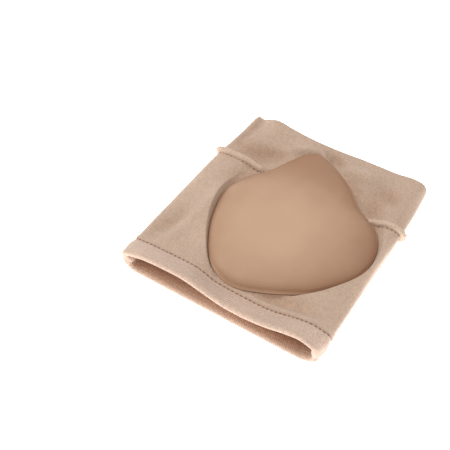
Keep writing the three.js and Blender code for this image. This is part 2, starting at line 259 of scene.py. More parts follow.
def linear(hex_colour):
    """An sRGB hex colour as linear red, green, blue and alpha."""
    channels = [int(hex_colour[at : at + 2], 16) / 255 for at in (1, 3, 5)]
    light = [c / 12.92 if c <= 0.04045 else ((c + 0.055) / 1.055) ** 2.4 for c in channels]
    return (*light, 1.0)


def smoothstep(value):
    """0 below 0, 1 above 1, and an even S between them."""
    t = np.clip(value, 0, 1)
    return t * t * (3 - 2 * t)


def curve_weights(t):
    """Weights of the values at both ends of a stretch, then of their slopes, at t from 0 to 1 along it."""
    return 2 * t**3 - 3 * t**2 + 1, 3 * t**2 - 2 * t**3, t**3 - 2 * t**2 + t, t**3 - t**2


def smooth_table(at, places, values):
    """Values of a short table read as one smooth curve at many places."""
    places = np.asarray(places, float)
    values = np.asarray(values, float)
    slopes = np.gradient(values, places)
    row = np.clip(np.searchsorted(places, at, side="right") - 1, 0, len(places) - 2)
    span = places[row + 1] - places[row]
    near, far, leave, arrive = curve_weights(np.clip((at - places[row]) / span, 0, 1))
    level = values[row] * near + values[row + 1] * far
    return level + (slopes[row] * leave + slopes[row + 1] * arrive) * span


def by_bearing(bearing, rows, column):
    """A column of a table whose first column is a bearing in degrees, read all the way round."""
    places = [row[0] for row in rows]
    values = [row[column] for row in rows]
    places = [places[-1] - 360, *places, places[0] + 360]
    values = [values[-1], *values, values[0]]
    return smooth_table(np.mod(bearing, 360), places, values)


def shoulder(share):
    """1 over the top of the sleeve, and 0 where the upper layer turns down into its side folds."""
    return (1 - np.minimum(np.abs(share), 1) ** SHOULDER_POWER) ** (1 / SHOULDER_POWER)


def origin(size):
    """The sleeve's middle line and the near edge of its lower lip, from the box of the hem's solid."""
    middle = HEM_BOX[0].x + (0.5 - HEM_SHIFT) * size.hem_width
    near = HEM_BOX[1].y - size.hem_depth + SOLIDS_GAP / 2
    return middle, near


class CushionPlan:
    """The cushion's outline seen from above, and how far a point lies from it."""

    def __init__(self, size, middle, near):
        self.centre = np.array([middle + size.pad_across, near + size.pad_along])
        half = np.array([size.pad_width / 2, size.pad_length / 2])
        corners = np.array(PAD_OUTLINE) * half
        outline = []
        for index in range(len(corners)):
            a, b, c, d = (corners[(index + k) % len(corners)] for k in (-1, 0, 1, 2))
            for t in np.linspace(0, 1, OUTLINE_STEPS, endpoint=False):
                bend = (2 * a - 5 * b + 4 * c - d) * t**2 + (3 * b - a - 3 * c + d) * t**3
                outline.append(0.5 * (2 * b + (c - a) * t + bend))
        outline = np.array(outline)
        bearing = np.degrees(np.arctan2(outline[:, 1], outline[:, 0])) % 360
        order = np.argsort(bearing)
        self.bearings = bearing[order]
        self.radii = np.hypot(outline[:, 0], outline[:, 1])[order]

    def radius(self, bearing):
        """From the middle to the edge, at bearings in degrees."""
        return np.interp(np.mod(bearing, 360), self.bearings, self.radii, period=360)

    def bearing_and_beyond(self, x, y):
        """The bearing of points from the middle, and how far beyond the edge they lie."""
        across = x - self.centre[0]
        along = y - self.centre[1]
        bearing = np.degrees(np.arctan2(along, across))
        return bearing, np.hypot(across, along) - self.radius(bearing)


class SleeveForm:
    """The outer face of the sleeve as it lies, worked out from its sizes. Across is told as a share, from
    -1 at the left fold to 1 at the right one, and along as the distance from the hem's edge."""

    def __init__(self, size):
        self.size = size
        self.length = size.sleeve_length
        self.seam = size.sleeve_length - size.cuff_depth
        self.middle, self.near = origin(size)
        self.cushion = CushionPlan(size, self.middle, self.near)
        half_body = (size.hem_width + size.seam_width) / 2
        half_cuff = (size.seam_width + size.cuff_width) / 2
        # along, width, shift as a share of the width, fold height as a share
        self.sections = (
            (0, size.hem_width, HEM_SHIFT, 1.08),
            (size.hem_depth, size.hem_width, HEM_SHIFT, 1.04),
            ((size.hem_depth + self.seam) / 2, half_body, -0.006, 1.0),
            (self.seam, size.seam_width, 0.004, 0.94),
            ((self.seam + self.length) / 2, half_cuff, 0.010, 0.88),
            (self.length, size.cuff_width, 0.008, 0.84),
        )
        self.rows = np.linspace(0, self.length, LENGTH_ROWS)
        self.points = self.trace()
        around = np.roll(self.points, -1, axis=1) - np.roll(self.points, 1, axis=1)
        lengthwise = np.gradient(self.points, axis=0)
        normals = np.cross(around, lengthwise)
        self.normals = normals / np.linalg.norm(normals, axis=2, keepdims=True)

    def column(self, along, index):
        """A column of the sections, at places along the sleeve."""
        places = [row[0] for row in self.sections]
        return smooth_table(along, places, [row[index] for row in self.sections])

    def plan(self, share, along):
        """Where a point lies seen from above."""
        width = self.column(along, 1)
        pull = self.size.cuff_sag * (1 - share**2) + self.size.corner_pull * share**16
        drift = (self.size.cuff_skew * share - pull) * (along / self.length) ** 4
        x = self.middle + self.column(along, 2) * width + share * width / 2
        return x, self.near + along + drift

    def upper_plan(self, share, along):
        """Where a point of the upper layer lies seen from above: it has slid towards the open end."""
        x, y = self.plan(share, along)
        slack = (1 - np.minimum(along / self.size.hem_depth, 1)) ** 2 * (1 - share**6)
        slid = shoulder(share)
        x = x + slid * self.size.slide_across
        return x, y - slid * self.size.slide_along + slack * self.size.hem_setback

    def crown(self, share, along):
        """Height of the upper layer before its side folds round it off."""
        places = np.array([row[0] for row in CROWN]) * MM
        rows = np.array([smooth_table(share, ACROSS, row[1:]) for row in CROWN]) * MM
        slopes = np.gradient(rows, places, axis=0)
        share, along = np.broadcast_arrays(share, along)
        rows, slopes = (np.broadcast_to(part, (len(places), *share.shape)) for part in (rows, slopes))
        row = np.clip(np.searchsorted(places, along, side="right") - 1, 0, len(places) - 2)
        span = places[row + 1] - places[row]
        near, far, leave, arrive = curve_weights(np.clip((along - places[row]) / span, 0, 1))

        def at(table, step):
            return np.take_along_axis(table, (row + step)[None], 0)[0]

        level = at(rows, 0) * near + at(rows, 1) * far
        return level + span * (at(slopes, 0) * leave + at(slopes, 1) * arrive)

    def hills(self, share, along):
        """Hills, hollows and creases of the upper layer."""
        rise = np.zeros(np.broadcast(share, along).shape)
        place = along / self.length
        for _, across, lengthwise, reach_across, reach_along, height in HILLS:
            away = ((share - across) / reach_across) ** 2 + ((place - lengthwise) / reach_along) ** 2
            rise += height * MM * np.exp(-0.5 * away)
        half = self.size.hem_width / 2
        for _, across, lengthwise, direction, length, width, height in CREASES:
            turn = math.radians(direction)
            x = (share - across) * half
            y = (place - lengthwise) * self.length
            ahead = (x * math.cos(turn) + y * math.sin(turn)) / (length * MM)
            beside = (y * math.cos(turn) - x * math.sin(turn)) / (width * MM)
            rise += height * MM * np.exp(-0.5 * (ahead**2 + beside**2))
        return rise * (1 - np.abs(share) ** 24)

    def bed(self, x, y):
        """Height of the knit under the cushion, higher on the doubled cuff and towards the left fold."""
        x, y = x - self.middle, y - self.near
        cuff = smoothstep((y - self.seam) / (0.5 * self.size.cuff_depth) + 0.5)
        left = 1 - smoothstep((x / self.size.seam_width + 0.125) / 0.145)
        near_half = 1 - smoothstep((y / self.length - 0.48) / 0.16)
        return self.size.bed_height + CUFF_STEP * cuff + LEFT_STEP * left * near_half

    def painted_valley_shade(self, points, along):
        """Painted shade: how much darker the knit's colour is made in the valleys of the upper layer, where
        shade falls.
        """
        along = np.asarray(along, float)[:, None]
        width, shift = self.column(along, 1), self.column(along, 2)
        share = (points[:, :, 0] - self.middle - self.size.slide_across) / (width / 2) - 2 * shift
        rise = self.hills(np.clip(share, -1, 1), along) * (points[:, :, 2] > self.size.fold_height)
        return 1 - VALLEY_SHADE * np.clip(rise / SHADED_DEPTH, -1, 0)

    def free_knit(self, share, along):
        """Height of the upper layer as it would lie without the cushion."""
        fold = self.column(along, 3) * self.size.fold_height
        return fold + (self.crown(share, along) - fold) * shoulder(share) + self.hills(share, along)

    def upper(self, share, along):
        """Height of the outer face of the upper layer, with the bed that the cushion presses into it."""
        x, y = self.upper_plan(share, along)
        bearing, beyond = self.cushion.bearing_and_beyond(x, y)
        gap, crest = (by_bearing(bearing, MEETING, k) * MM for k in (1, 2))
        sharp = np.clip(by_bearing(bearing, MEETING, 3), 0, 1)
        soft = smoothstep(beyond / gap)
        crisp = np.clip(beyond / gap, 0, 1) ** 1.7
        climb = soft + (crisp - soft) * sharp
        level = self.free_knit(share, along) + crest * np.exp(-((beyond - gap) / CREST_REACH) ** 2)
        return level * climb + self.bed(x, y) * (1 - climb)

    def lower(self, share, along):
        """Height of the outer face of the lower layer, flat on the floor but for its turned-up sides."""
        flat = np.where(share < 0, FLAT_LEFT, FLAT_RIGHT)
        turn = np.clip((np.abs(share) - flat) / (1 - flat), 0, 1)
        return self.column(along, 3) * self.size.fold_height * (1 - np.sqrt(1 - turn**2))

    def trace(self):
        """Evenly divided sections, from the left fold over the top to the right fold and back below."""
        turn = np.linspace(0, 2 * math.pi, TRACE_POINTS + 1)
        share = -np.cos(turn)[None, :]
        along = self.rows[:, None]
        top = (np.sin(turn) >= 0)[None, :]
        x, y = (np.where(top, *pair) for pair in zip(self.upper_plan(share, along), self.plan(share, along)))
        z = np.where(top, self.upper(share, along), self.lower(share, along))
        trace = np.stack([x, y, z], axis=2)
        steps = np.linalg.norm(np.diff(trace, axis=1), axis=2)
        reach = np.concatenate([np.zeros((len(trace), 1)), np.cumsum(steps, axis=1)], axis=1)
        loops = np.empty((LENGTH_ROWS, AROUND_STEPS, 3))
        for row in range(LENGTH_ROWS):
            target = np.arange(AROUND_STEPS) / AROUND_STEPS * reach[row, -1]
            for axis in range(3):
                loops[row, :, axis] = np.interp(target, reach[row], trace[row, :, axis])
        return loops

    def surface(self, along, out):
        """Points at places along the sleeve, each a distance out of its outer face, or in where negative."""
        along = np.asarray(along, float)
        at = np.clip(along / self.length, 0, 1) * (LENGTH_ROWS - 1)
        row = np.minimum(at.astype(int), LENGTH_ROWS - 2)
        part = (at - row)[:, None, None]
        points = self.points[row] * (1 - part) + self.points[row + 1] * part
        normals = self.normals[row] * (1 - part) + self.normals[row + 1] * part
        normals /= np.linalg.norm(normals, axis=2, keepdims=True)
        out = np.asarray(out, float)
        if out.ndim == 1:
            out = out[:, None]
        return points + normals * out[:, :, None], normals


def link(name, data):
    """A new object of the scene."""
    thing = bpy.data.objects.new(name, data)
    bpy.context.scene.collection.objects.link(thing)
    return thing


def new_piece(name, points, faces, material):
    """A smooth mesh object at the origin, with its place in its mesh."""
    mesh = bpy.data.meshes.new(name)
    mesh.from_pydata(points.tolist(), [], faces)
    mesh.update()
    mesh.polygons.foreach_set("use_smooth", np.ones(len(mesh.polygons), bool))
    mesh.materials.append(material)
    return link(name, mesh)


def give_points(mesh, name, values):
    """Keeps one value for each point of a mesh, for a material to read."""
    layer = mesh.attributes.new(name, "FLOAT", "POINT")
    layer.data.foreach_set("value", values.astype(np.float32).ravel())


def ring_faces(index):
    """Faces between the rows of a grid of points whose rows are closed rings."""
    beside = np.roll(index, -1, axis=1)
    return np.stack([index[:-1], index[1:], beside[1:], beside[:-1]], axis=2).reshape(-1, 4)


def evened(form, along, inner):
    """The inner face of a band, evened out where the outer one is sharply bent, and kept under it on top."""
    for _ in range(EVENING_PASSES):
        beside = (np.roll(inner, 1, axis=1) + np.roll(inner, -1, axis=1)) / 2
        lengthwise = inner.copy()
        lengthwise[1:-1] = (inner[:-2] + inner[2:]) / 2
        inner = (inner + beside + lengthwise) / 3
    limit, facing = form.surface(along, np.full(len(along), -LEAST_WALL))
    upwards = facing[:, :, 2] > 0.3
    inner[:, :, 2] = np.where(upwards, np.minimum(inner[:, :, 2], limit[:, :, 2]), inner[:, :, 2])
    return inner


def band(name, form, along, out, material, inner_rows=0, inside=0):
    """A closed band right round the sleeve. Its profile runs outside from near to far, then back inside. The
    last inner_rows rows are an inner face that is evened out. Inside says for each row how far it lies in
    the tube, where shade is painted into the knit's colour."""
    points, _ = form.surface(along, out)
    # painted shade: darker in the valleys, and darker still inside the tube
    inside = np.broadcast_to(inside, len(along))[:, None]
    shade = form.painted_valley_shade(points, along) * (1 + LINING_SHADE * inside)
    if inner_rows:
        first = len(along) - inner_rows
        points[first:] = evened(form, along[first:], points[first:])
    rows, steps = points.shape[:2]
    here = np.arange(rows * steps).reshape(rows, steps)
    beside = np.roll(here, -1, axis=1)
    faces = np.stack([here, beside, np.roll(beside, -1, axis=0), np.roll(here, -1, axis=0)], axis=2)
    piece = new_piece(name, points.reshape(-1, 3), faces.reshape(-1, 4).tolist(), material)
    girth = 2 * form.size.hem_width / MM
    fraction = np.broadcast_to(np.arange(steps) / steps * girth, (rows, steps))
    lengthwise = np.broadcast_to(np.asarray(along)[:, None] / MM, (rows, steps))
    uv = np.stack([fraction, lengthwise], axis=2).reshape(-1, 2)
    corners = np.empty(len(piece.data.loops), int)
    piece.data.loops.foreach_get("vertex_index", corners)
    layer = piece.data.uv_layers.new(name="cloth")
    layer.data.foreach_set("uv", uv[corners].astype(np.float32).ravel())
    give_points(piece.data, "shade", shade)
    return piece


def even_rows(start, stop, spacing):
    """Evenly spaced places from start to stop, both included, no further apart than the spacing."""
    count = max(2, int(abs(stop - start) / spacing) + 2)
    return np.linspace(start, stop, count)


def edge_roll(along, edge, drop):
    """How far a sewn edge rolls down into its seam, at places along the sleeve."""
    return np.clip(1 - np.abs(along - edge) / ROLL_REACH, 0, 1) ** 2 * drop


def bunching(form, along):
    """How thick the lining gathers at each place and step round the sleeve, as a share: evenly at the left
    fold, and in upright pleats at the right one."""
    hem = form.points[0]
    girth = np.linalg.norm(np.roll(hem, -1, axis=0) - hem, axis=1).sum()

    def near_fold(fold, place, width):
        away = (np.arange(AROUND_STEPS) - fold + AROUND_STEPS / 2) % AROUND_STEPS - AROUND_STEPS / 2
        return np.exp(-(((away * girth / AROUND_STEPS / MM - place) / width) ** 2))[None, :]

    pleats = 0.3 + 0.3 * np.cos(2 * math.pi * along / PLEAT_PITCH)[:, None]
    left, right = hem[:, 0].argmin(), hem[:, 0].argmax()
    return near_fold(left, 0, 4.5) + pleats * near_fold(right, 1.5, 4.0)


def folded_band(name, form, edge, free, ply, material, puff=0, gathers=0):
    """A cloth turned back on itself at an open end of the sleeve, from the fold at edge to the seam at free.
    Puff is how far it swells out between them, and gathers is how thick its lining bunches at the sides."""
    slit = 0.1 * MM
    radius = ply + slit
    inward = 1 if free > edge else -1
    start = edge + inward * radius
    turn = np.linspace(-math.pi / 2, math.pi / 2, FOLD_STEPS)
    outer_arc = (start - inward * radius * np.cos(turn), -radius + radius * np.sin(turn))
    inner_arc = (start - inward * slit * np.cos(turn[::-3]), -radius + slit * np.sin(turn[::-3]))
    outside = even_rows(start, free, BAND_ROWS)[1:]
    facing = even_rows(free, start, HIDDEN_ROWS)
    lining = even_rows(free - inward * RAW_SETBACK, start, LINING_ROWS)
    along = [outer_arc[0], outside, facing, inner_arc[0], facing[::-1][1:-1], lining[:-1]]
    swell = puff * np.sin(np.linspace(0, math.pi, len(outside))) ** 2
    depth = [
        outer_arc[1],
        swell - edge_roll(outside, free, 0.3 * MM),
        np.full(len(facing), -radius + slit),
        inner_arc[1],
        np.full(len(facing) - 2, -radius - slit),
        np.full(len(lining) - 1, -2 * radius),
    ]
    along, depth = np.concatenate(along), np.concatenate(depth)
    # painted shade: the lining is painted darker from the fold inwards, as the light reaches less far into
    # the tube
    inside = smoothstep(np.abs(along - edge) / DARKENING_REACH) * (depth < -1.2 * radius)
    lined = np.zeros(len(along))
    lined[: len(turn)] = (-depth[: len(turn)] / (2 * radius)) ** 2
    lined[len(along) - len(lining) + 1 :] = 1
    depth = depth[:, None] - gathers * lined[:, None] * bunching(form, along)
    if inward < 0:
        along, depth, inside = along[::-1], depth[::-1], inside[::-1]
    return band(name, form, along, depth, material, inside=inside)


def ridge_stand(form):
    """How far the seam allowance stands up at each step round the sleeve: pressed flat under the cushion
    and under the sleeve."""
    base = form.surface([form.seam], [0])[0][0]
    _, beyond = form.cushion.bearing_and_beyond(base[:, 0], base[:, 1])
    on_top = smoothstep((base[:, 2] / form.size.fold_height - 0.3) / 0.7)
    clear = smoothstep((beyond - CUSHION_GAP) / RIDGE_CLIMB)
    return form.size.ridge_height * on_top * clear


def surface_path(form, along, out):
    """A closed mesh line round the sleeve, with the direction out of the cloth kept at each point."""
    points, normals = form.surface([along], [out])
    points, normals = points[0], normals[0]
    steps = len(points)
    mesh = bpy.data.meshes.new("path")
    edges = [(step, (step + 1) % steps) for step in range(steps)]
    mesh.from_pydata(points.tolist(), edges, [])
    lift = mesh.attributes.new("lift", "FLOAT_VECTOR", "POINT")
    lift.data.foreach_set("vector", normals.astype(np.float32).ravel())
    girth = float(np.linalg.norm(np.diff(np.vstack([points, points[:1]]), axis=0), axis=1).sum())
    return link("path", mesh), girth


def add(tree, kind, inputs=None, **settings):
    """One node with its settings. Inputs are values, or sockets to link from, by name or number."""
    node = tree.nodes.new(kind)
    for key, value in settings.items():
        setattr(node, key, value)
    for key, value in (inputs or {}).items():
        if isinstance(value, bpy.types.NodeSocket):
            tree.links.new(value, node.inputs[key])
        else:
            node.inputs[key].default_value = value
    return node


def math_node(tree, operation, *values):
    """The output of one math node."""
    node = add(tree, "ShaderNodeMath", dict(enumerate(values)), operation=operation)
    return node.outputs[0]


def cloud(tree, scale, detail):
    """The output of a cloudy pattern that is fixed to the piece."""
    place = add(tree, "ShaderNodeTexCoord")
    values = {"Vector": place.outputs["Object"], "Scale": scale, "Detail": detail}
    return add(tree, "ShaderNodeTexNoise", values).outputs[0]


def blend(tree, share, colour, other):
    """The output of one node that blends two colours."""
    node = add(tree, "ShaderNodeMix", {0: share, 6: colour, 7: other}, data_type="RGBA")
    return node.outputs[2]


def tones(colour, dark, light):
    """A darker and a lighter tone of an sRGB hex colour."""
    base = linear(colour)[:3]
    return [tuple(channel * factor for channel in base) + (1.0,) for factor in (dark, light)]


def new_material(name):
    """An empty material and its tree."""
    material = bpy.data.materials.new(name)
    material.use_nodes = True
    material.node_tree.nodes.clear()
    return material, material.node_tree


def finished(material, values):
    """The material with one shader of these values on its surface."""
    tree = material.node_tree
    shader = add(tree, "ShaderNodeBsdfPrincipled", values)
    add(tree, "ShaderNodeOutputMaterial", {"Surface": shader.outputs[0]})
    return material


def brushed_jersey(name, colour, wale, course, relief):
    """Brushed nylon and elastane jersey, circular knitted: soft and matt, with a short nap that lightens its
    edges, a cloudy tone where the nap lies this way and that, and a fine grain of columns of loops. The
    loops of the real cloth are about half a millimetre wide, and are drawn a little coarser so that they
    show. The mesh says in its attribute named shade how much painted shade darkens the colour at each point,
    in the valleys and inside the tube."""
    material, tree = new_material(name)

    def plus(one, other):
        return math_node(tree, "ADD", one, other)

    def times(one, other):
        return math_node(tree, "MULTIPLY", one, other)

    # the wales run along the sleeve and the courses round it, both told in millimetres by the UV map
    cloth = add(tree, "ShaderNodeUVMap", uv_map="cloth")
    axes = add(tree, "ShaderNodeSeparateXYZ", {0: cloth.outputs[0]})
    column = math_node(tree, "SINE", times(axes.outputs[0], 2 * math.pi / wale))
    row = times(axes.outputs[1], 2 * math.pi / course)
    lean = times(math_node(tree, "ABSOLUTE", column), 1.6)
    loops = math_node(tree, "SINE", plus(row, lean))
    knit = plus(column, times(loops, 0.45))
    # lengths of nap: broad clouds, streaks of a few millimetres, and the fluff itself
    clouds = times(cloud(tree, 60, 3), 0.26)
    streaks = times(cloud(tree, 400, 3), 0.18)
    fluff = cloud(tree, 1100, 3)
    ribs = times(column, times(cloud(tree, 120, 2), relief * 0.16))
    tone = plus(plus(plus(clouds, streaks), times(fluff, 0.56)), ribs)
    spread = add(tree, "ShaderNodeMapRange", {0: tone, 1: 0.32, 2: 0.68, 3: 0.0, 4: 1.0})
    mixed = blend(tree, spread.outputs[0], *tones(colour, 0.83, 1.16))
    # painted shade read from the mesh, which darkens the colour in the valleys and inside the tube
    painted_shade = add(tree, "ShaderNodeAttribute", attribute_name="shade")
    toned = add(tree, "ShaderNodeGamma", {"Color": mixed, "Gamma": painted_shade.outputs["Fac"]})
    height = plus(times(knit, 0.5), times(fluff, 2))
    bump = add(tree, "ShaderNodeBump", {"Strength": relief, "Distance": 0.2 * MM, "Height": height})
    values = {
        "Base Color": toned.outputs[0],
        "Roughness": 0.95,
        "IOR": 1.45,
        "Specular IOR Level": 0.2,
        "Sheen Weight": 0.35,
        "Sheen Roughness": 0.45,
        "Normal": bump.outputs[0],
    }
    return finished(material, values)


def cast_gel(name, colour, shaded_edge_colour):
    """Soft thermoplastic gel, cast in a smooth mould: satin, with painted shade that darkens it towards its
    edges and painted light that makes it lightest a little left of its middle. The mesh says in its
    attribute named rim how far a point lies from that lightest place, about 1 at the edge."""
    material, tree = new_material(name)
    painted_rim_shade = add(tree, "ShaderNodeAttribute", attribute_name="painted_rim_shade")
    blotch = math_node(tree, "MULTIPLY", math_node(tree, "SUBTRACT", cloud(tree, 45, 3), 0.5), 0.5)
    edge = math_node(tree, "ADD", painted_rim_shade.outputs["Fac"], blotch)
    reach = {0: edge, 1: 0.2, 2: 1.2, 3: 0.0, 4: 1.0}
    towards = add(tree, "ShaderNodeMapRange", reach, interpolation_type="SMOOTHSTEP")
    mixed = blend(tree, towards.outputs[0], linear(colour), linear(shaded_edge_colour))
    skin = {"Strength": 0.08, "Distance": 0.05 * MM, "Height": cloud(tree, 900, 2)}
    bump = add(tree, "ShaderNodeBump", skin)
    values = {
        "Base Color": mixed,
        "Roughness": 0.5,
        "IOR": 1.43,
        "Specular IOR Level": 0.4,
        "Subsurface Weight": 0.2,
        "Subsurface Radius": (1.0, 0.5, 0.3),
        "Subsurface Scale": 2.0 * MM,
        "Normal": bump.outputs[0],
    }
    return finished(material, values)


def spun_thread(name, colour):
    """Spun polyester sewing thread: matt, slightly hairy. In a dark tone it also paints the shade in needle
    holes.
    """
    material, tree = new_material(name)
    mixed = blend(tree, cloud(tree, 4000, 2), *tones(colour, 0.88, 1.12))
    return finished(material, {"Base Color": mixed, "Roughness": 0.8, "Sheen Weight": 0.2})


def glowing_acrylic(name, colour, glow):
    """The studio's table: matt white acrylic, evenly lit from below."""
    material, _ = new_material(name)
    values = {
        "Base Color": linear(colour),
        "Roughness": 1.0,
        "Specular IOR Level": 0.0,
        "Emission Color": linear(colour),
        "Emission Strength": glow,
    }
    return finished(material, values)


def stitch_tree():
    """Geometry nodes that lay small rounded stitches at even steps along a closed path."""
    tree = bpy.data.node_groups.new("Row of stitches", "GeometryNodeTree")
    names = ("Path", "Count", "Size", "Offset", "Slant", "Material")
    kinds = ("Geometry", "Int", "Vector", "Vector", "Float", "Material")
    for name, kind in zip(names, kinds):
        tree.interface.new_socket(name, in_out="INPUT", socket_type="NodeSocket" + kind)
    tree.interface.new_socket("Stitches", in_out="OUTPUT", socket_type="NodeSocketGeometry")
    source = tree.nodes.new("NodeGroupInput").outputs
    curve = add(tree, "GeometryNodeMeshToCurve", {"Mesh": source["Path"]})
    even = add(tree, "GeometryNodeResampleCurve", {"Curve": curve.outputs[0], "Count": source["Count"]})
    grain = add(tree, "GeometryNodeMeshUVSphere", {"Segments": 10, "Rings": 6, "Radius": 0.5})
    sized = add(tree, "GeometryNodeTransform", {"Geometry": grain.outputs[0], "Scale": source["Size"]})
    turned = add(tree, "ShaderNodeCombineXYZ", {"Z": source["Slant"]})
    slanted = add(
        tree,
        "GeometryNodeTransform",
        {"Geometry": sized.outputs[0], "Rotation": turned.outputs[0], "Translation": source["Offset"]},
    )
    tangent = tree.nodes.new("GeometryNodeInputTangent")
    lift = add(tree, "GeometryNodeInputNamedAttribute", {"Name": "lift"}, data_type="FLOAT_VECTOR")
    up = add(tree, "FunctionNodeAlignRotationToVector", {"Vector": lift.outputs[0]}, axis="Z")
    heading = add(
        tree,
        "FunctionNodeAlignRotationToVector",
        {"Rotation": up.outputs[0], "Vector": tangent.outputs[0]},
        axis="X",
        pivot_axis="Z",
    )
    uneven = tree.nodes.new("FunctionNodeRandomValue")
    uneven.data_type = "FLOAT_VECTOR"
    uneven.inputs["Min"].default_value = (0.65, 0.65, 0.9)
    uneven.inputs["Max"].default_value = (1.15, 1.25, 1.1)
    laid = add(
        tree,
        "GeometryNodeInstanceOnPoints",
        {
            "Points": even.outputs[0],
            "Instance": slanted.outputs[0],
            "Rotation": heading.outputs[0],
            "Scale": uneven.outputs[0],
        },
    )
    real = add(tree, "GeometryNodeRealizeInstances", {"Geometry": laid.outputs[0]})
    smooth = add(tree, "GeometryNodeSetShadeSmooth", {"Geometry": real.outputs[0]})
    dressed = add(
        tree,
        "GeometryNodeSetMaterial",
        {"Geometry": smooth.outputs[0], "Material": source["Material"]},
    )
    result = tree.nodes.new("NodeGroupOutput")
    tree.links.new(dressed.outputs[0], result.inputs[0])
    return tree


def stitch_row(name, form, along, out, pitch, size, material, offset=(0, 0, 0), slant=0):
    """A row of stitches round the sleeve as one plain mesh object."""
    path, girth = surface_path(form, along, out)
    tree = bpy.data.node_groups.get("Row of stitches") or stitch_tree()
    modifier = path.modifiers.new("stitches", "NODES")
    modifier.node_group = tree
    values = {
        "Count": int(round(girth / pitch)),
        "Size": size,
        "Offset": offset,
        "Slant": slant,
        "Material": material,
    }
    for socket in tree.interface.items_tree:
        if socket.in_out == "INPUT" and socket.name in values:
            modifier[socket.identifier] = values[socket.name]
    ready = path.evaluated_get(bpy.context.evaluated_depsgraph_get())
    mesh = bpy.data.meshes.new_from_object(ready)
    mesh.name = name
    bpy.data.objects.remove(path)
    return link(name, mesh)


def settle(piece, slot, *nodes):
    """Puts a finished piece on the sleeve's body, and hides the nodes that it replaces. The slot is not
    used.
    """
    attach(piece, "root")
    if nodes:
        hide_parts(*nodes)


def length(name, description, millimetres):
    """A length that can be set, told in millimetres."""
    return FloatProperty(name=name, description=description, unit="LENGTH", default=millimetres * MM)


class SleeveSizes(bpy.types.PropertyGroup):
    """Sizes of the sleeve as it lies"""

    hem_width: length("Hem width", "Flat width at the open hem", 97)
    seam_width: length("Seam width", "Flat width at the seam", 93)
    cuff_width: length("Cuff width", "Flat width at the cuff's fold", 89)
    sleeve_length: length("Length", "From the hem's edge to the cuff's fold", 104.5)
    hem_depth: length("Hem depth", "From the hem's edge to its stitches", 11.4)
    cuff_depth: length("Cuff depth", "From the seam to the cuff's fold", 29.5)
    bed_height: length("Bed height", "Height of the knit under the cushion", 9.5)
    slide_across: length("Slide across", "How far the upper layer has slid to the right", 1.5)
    slide_along: length("Slide along", "How far the upper layer has slid to the open end", 2.4)
    hem_setback: length("Hem setback", "How far the upper lip lies behind the lower one", 2.0)
    fold_height: length("Fold height", "Height of the side folds' widest line", 6.4)
    cuff_skew: length("Cuff skew", "How far the far end runs askew", 1.2)
    cuff_sag: length("Cuff sag", "How far the far end sags between its corners", 1.6)
    corner_pull: length("Corner pull", "How far the far corners are rounded", 2.5)
    knit_wall: length("Knit wall", "Thickness of one layer of knit", 1.1)
    hem_ply: length("Hem ply", "Thickness of one layer of the puffed hem", 1.3)
    ridge_width: length("Ridge width", "Width of the seam allowance", 2.5)
    ridge_height: length("Ridge height", "How far the seam allowance stands up", 2.2)
    pad_width: length("Cushion width", "Width of the cushion", 72.8)
    pad_length: length("Cushion length", "Length of the cushion", 82.2)
    pad_thickness: length("Cushion thickness", "Thickness in the middle", 8.8)
    pad_across: length("Cushion place across", "Where its middle lies", 7.4)
    pad_along: length("Cushion place along", "Where its middle lies", 51.6)
    pad_flange: length("Cushion flange", "Thickness of the thin edge", 0.8)


class StitchSizes(bpy.types.PropertyGroup):
    """Sizes of the sewing"""

    pitch: length("Pitch", "From one needle hole to the next", 2.1)
    thread: length("Thread", "Thickness of the sewing thread", 0.34)
    overlock_pitch: length("Overlock pitch", "From one overlock loop to the next", 1.5)


class StudioLight(bpy.types.PropertyGroup):
    """Light of the studio"""

    key_power: FloatProperty(
        name="Key power", description="Power of the large soft light", unit="POWER", default=4.3,
    )
    fill_power: FloatProperty(
        name="Fill power", description="Power of the light on the far right", unit="POWER", default=2.0,
    )
    world_strength: FloatProperty(
        name="Surround", description="Strength of the white surround", default=0.52,
    )
    table_glow: FloatProperty(
        name="Table glow", description="How strongly the table is lit from below", default=2.0,
    )


class PieceBuilder:
    """What the operators of the pieces share: each builds its piece on the form of the sleeve."""

    def execute(self, context):
        size = context.scene.sleeve_sizes
        self.build(size, SleeveForm(size))
        return {"FINISHED"}


class SLEEVE_OT_body(PieceBuilder, bpy.types.Operator):
    """Knit wall of the sleeve between its hem and its seam"""

    bl_idname = "sleeve.body"
    bl_label = "Knit body"

    def build(self, size, form):
        near = size.hem_depth + SEWN_GAP
        far = form.seam - size.ridge_width / 2 - SEWN_GAP
        outside = even_rows(near, far, BODY_ROWS)
        # the knit swells a little behind the stitches that pull the hem down
        swell = np.exp(-(((outside - near - 1.3 * MM) / (1.1 * MM)) ** 2)) * 0.35 * MM
        inside = even_rows(far, near, INNER_ROWS)
        along = np.concatenate([outside, inside])
        wall = np.full(len(inside), -size.knit_wall)
        out = np.concatenate([swell - edge_roll(outside, near, 0.4 * MM), wall])
        knit = brushed_jersey("brushed jersey", "#c8ad98", 0.9, 0.8, 0.35)
        # painted shade: the inner face of the tube is painted darker
        lining = np.repeat([0, 1], [len(outside), len(inside)])
        piece = band("knit_body", form, along, out, knit, len(inside), lining)
        settle(piece, "knit", "sleeve_body")


class SLEEVE_OT_hem(PieceBuilder, bpy.types.Operator):
    """Hem of two layers, turned back at the open end"""

    bl_idname = "sleeve.hem"
    bl_label = "Turned hem"

    def build(self, size, form):
        knit = brushed_jersey("hem jersey", "#d5b8a4", 0.85, 1.6, 0.75)
        free = size.hem_depth - SEWN_GAP
        piece = folded_band("turned_hem", form, 0, free, size.hem_ply, knit, puff=0.5 * MM, gathers=3.0 * MM)
        settle(piece, "hem_knit", "hem_band")


